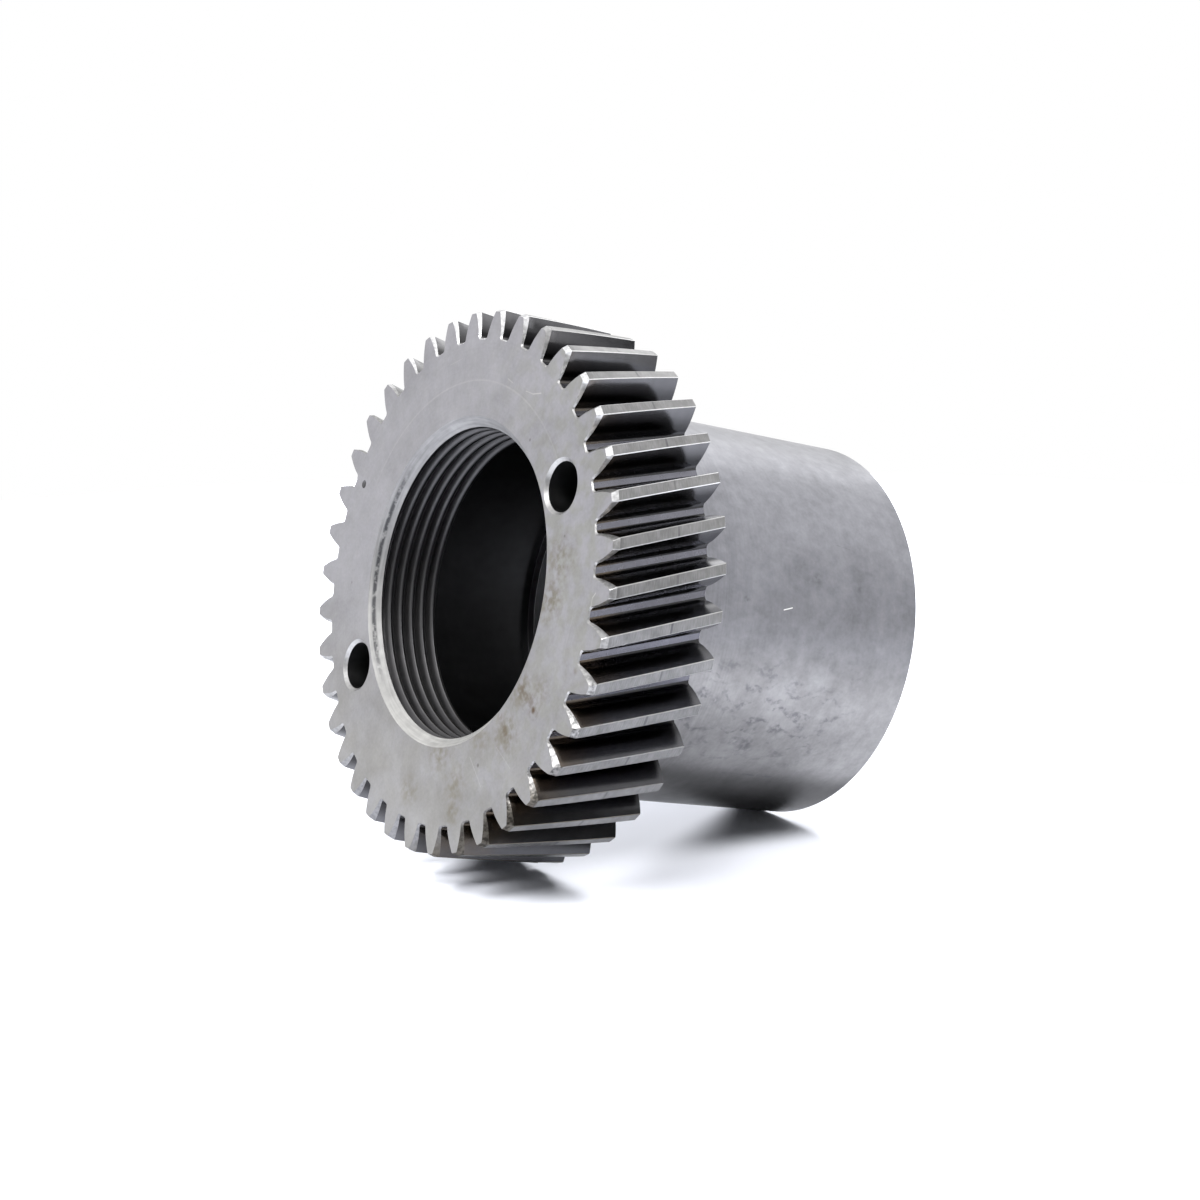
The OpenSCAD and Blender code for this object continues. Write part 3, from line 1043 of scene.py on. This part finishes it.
def thread(tree, at):
    """The cut thread: dark crests with painted highlight towards the side that lies on the table, dark
    grooves, and a pale chamfer at its mouth. On the chamfer, painted light and shade run from dull on the
    upper side to bright towards the table, with a painted line of shade where the thread starts.
    """
    place = at["Place"]
    crest = ramp(tree, at["Radius"], CREST_R + 0.2, CREST_R + 0.04)
    low = toward(tree, place, LOW_SIDE)
    # Painted highlight: the crests are made lighter towards the side that lies on the table
    lighter = blend(tree, ramp(tree, low, 8.0, 21.0), THREAD_CREST, THREAD_PAINTED_HIGHLIGHT)
    colour = blend(tree, crest, THREAD_GROOVE, lighter)
    cone = math_node(tree, "SUBTRACT", at["Height"], TOTAL_LEN - MOUTH_R)
    above_thread = ramp(tree, at["Height"], TOTAL_LEN - 1.75, TOTAL_LEN - 1.6)
    mouth = times(tree, near(tree, at["Radius"], cone, 0.02, 0.06), above_thread)
    # Painted light and shade on the mouth's chamfer: dull on the upper side, brightest towards the side that
    # lies on the table
    pale = blend(tree, ramp(tree, low, -18.0, 4.0), MOUTH_DULL, MOUTH_PALE)
    pale = blend(tree, ramp(tree, low, 12.0, 24.0), pale, MOUTH_PAINTED_HIGHLIGHT)
    # Painted shade: a dark line where the thread starts in the chamfer
    start_shade = times(
        tree,
        near(tree, at["Radius"], START_R, 0.1, 0.36),
        ramp(tree, toward(tree, place, START_SIDE), 16.0, 23.0),
        ramp(tree, noise(tree, place, 0.9, 4.0), 0.3, 0.55),
    )
    pale = blend(tree, start_shade, pale, MOUTH_START_SHADE)
    turned = tool_marks(tree, at["Radius"], at["Round"], spacing=0.3, length=9.0, strength=0.7)
    colour = blend(tree, mouth, colour, shade(tree, pale, turned["Level"]))
    colour = shade(tree, colour, mottled(tree, place, large=0.2, small=0.4))
    smooth = uneven(tree, place, 1.5, least=0.34, spread=0.15)
    return colour, math_node(tree, "MULTIPLY_ADD", mouth, 0.15, smooth)


def dark_bore(tree, at):
    """The dark inside of the bore and holes, lighter on the shoulder and towards the hub's end."""
    place = at["Place"]
    # Lighter on the shoulder and towards the hub's end
    on_shoulder = near(tree, at["Height"], TOTAL_LEN - SHOULDER_DEPTH, 0.02, 0.1)
    lighter = times(tree, on_shoulder, ramp(tree, at["Radius"], 27.0, 26.0))
    at_end = ramp(tree, at["Height"], 6.0, 0.5)
    colour = blend(tree, largest(tree, [lighter, at_end]), BORE_STEEL, BORE_LIGHTER)
    in_hole = ramp(tree, at["Radius"], 25.7, 26.2)
    colour = blend(tree, in_hole, colour, HOLE_STEEL)
    colour = shade(tree, colour, mottled(tree, place, large=0.3, small=0.3))
    return colour, uneven(tree, place, 3.0, least=0.3, spread=0.15)


def make_materials():
    """The gear's finishes, by name."""
    for make_effect in (place_effect, mottle_effect, tool_marks_effect, spot_effect, scratch_effect):
        make_effect()
    made = {}
    for finish in (ground_face, cut_edge, tooth_land, tooth_flank, root_land, turned_hub, thread, dark_bore):
        name = finish.__name__
        material, surface = new_material(name)
        tree = material.node_tree
        surface.inputs["Metallic"].default_value = 1.0
        tint = SPECULAR_TINT.get(name, 1.0)
        surface.inputs["Specular Tint"].default_value = (tint, tint, tint, 1)
        finish_steel(tree, surface, *finish(tree, use(tree, "place_on_gear")))
        made[name] = material
    return made


# Table, light and camera

def add_table():
    """A plain pale table. It is white to the camera apart from the gear's shadow, and clear from below."""
    mesh = bpy.data.meshes.new("table")
    mesh.from_pydata(ring(TABLE_RADIUS, 0), [], [tuple(range(ROUND_STEPS))])
    mesh.materials.append(table_material())
    table = in_scene("table", mesh)
    tilt = TABLE_NORMAL.to_track_quat("Z", "Y")
    table.matrix_world = Matrix.LocRotScale(-TABLE_NORMAL * TABLE_DROP * MM, tilt, None)


def table_material():
    """White paper, which turns clear when it is looked at from below."""
    material, _ = new_material("white_table")
    tree = material.node_tree
    tree.nodes.clear()
    mirrored = tree.nodes.new("ShaderNodeLightPath").outputs["Is Glossy Ray"]
    level = math_node(tree, "MULTIPLY_ADD", mirrored, MIRRORED_TABLE - 1, 1.0)
    paint = add(tree, "ShaderNodeBsdfDiffuse", {"Color": shade(tree, TABLE_COLOUR, level)}).outputs[0]
    clear = tree.nodes.new("ShaderNodeBsdfTransparent").outputs[0]
    below = tree.nodes.new("ShaderNodeNewGeometry").outputs["Backfacing"]
    mixed = add(tree, "ShaderNodeMixShader", {0: below, 1: paint, 2: clear}).outputs[0]
    add(tree, "ShaderNodeOutputMaterial", {"Surface": mixed})
    return material


def studio_direction(azimuth, elevation):
    """A direction from the gear, in degrees: azimuth 0 points away from the camera and 90 to its right."""
    turn = math.radians(azimuth)
    rise = math.radians(elevation)
    ahead = (TABLE_NORMAL.cross(CAMERA_BACK)).cross(TABLE_NORMAL).normalized() * -1
    right = ahead.cross(TABLE_NORMAL).normalized()
    level = ahead * math.cos(turn) + right * math.sin(turn)
    return level * math.cos(rise) + TABLE_NORMAL * math.sin(rise)


def facing_gear(azimuth, elevation, distance):
    """The placing of a flat thing that faces the gear, with its lower edge level with the table."""
    back = studio_direction(azimuth, elevation).normalized()
    side = TABLE_NORMAL.cross(back).normalized()
    up = back.cross(side)
    turned = Matrix((side, up, back)).transposed().to_quaternion()
    return Matrix.LocRotScale(back * distance, turned, None)


def add_soft_box(name, azimuth, elevation, width, height, radiance, mirrored):
    """A soft light that faces the gear. Its power follows from how bright it looks."""
    data = bpy.data.lights.new(name, "AREA")
    data.shape = "RECTANGLE"
    data.size = width
    data.size_y = height
    data.energy = radiance * math.pi * width * height
    lamp = in_scene(name, data)
    lamp.visible_glossy = mirrored
    lamp.matrix_world = facing_gear(azimuth, elevation, LIGHT_DISTANCE)


def add_card(name, azimuth, elevation, distance, width, height, grey):
    """A matt card that the steel mirrors and the camera doesn't see."""
    mesh = bpy.data.meshes.new(name)
    corners = [(x * width / 2, y * height / 2, 0) for x, y in ((-1, -1), (1, -1), (1, 1), (-1, 1))]
    mesh.from_pydata(corners, [], [(0, 1, 2, 3)])
    material, surface = new_material(name)
    surface.inputs["Base Color"].default_value = (grey, grey, grey, 1)
    surface.inputs["Roughness"].default_value = 1.0
    surface.inputs["Specular IOR Level"].default_value = 0.0
    mesh.materials.append(material)
    card = in_scene(name, mesh)
    card.matrix_world = facing_gear(azimuth, elevation, distance)
    card.visible_camera = False
    card.visible_diffuse = False
    card.visible_shadow = False


def add_world():
    """A white room: full white to the camera and in reflections, dimmer as a light."""
    world = bpy.data.worlds.new("white_room")
    bpy.context.scene.world = world
    world.use_nodes = True
    tree = world.node_tree
    tree.nodes.clear()
    path = tree.nodes.new("ShaderNodeLightPath").outputs
    seen = largest(tree, [path["Is Camera Ray"], path["Is Glossy Ray"], path["Is Transmission Ray"]])
    strength = math_node(tree, "MULTIPLY_ADD", seen, 1 - ROOM_LEVEL, ROOM_LEVEL)
    glow = add(tree, "ShaderNodeBackground", {"Color": (1, 1, 1, 1), "Strength": strength}).outputs[0]
    add(tree, "ShaderNodeOutputWorld", {"Surface": glow})


def add_camera():
    data = bpy.data.cameras.new("camera")
    data.lens = CAMERA_LENS
    data.clip_start = 0.01
    camera = in_scene("camera", data)
    axes = Matrix((CAMERA_RIGHT, CAMERA_UP, CAMERA_BACK)).transposed()
    camera.matrix_world = Matrix.LocRotScale(CAMERA_PLACE, axes.to_quaternion(), None)
    bpy.context.scene.camera = camera


build_gear(make_materials())
add_table()
add_world()
for soft_box in SOFT_BOXES:
    add_soft_box(*soft_box)
for card in CARDS:
    add_card(*card)
add_camera()
bpy.context.scene.view_settings.view_transform = "Standard"
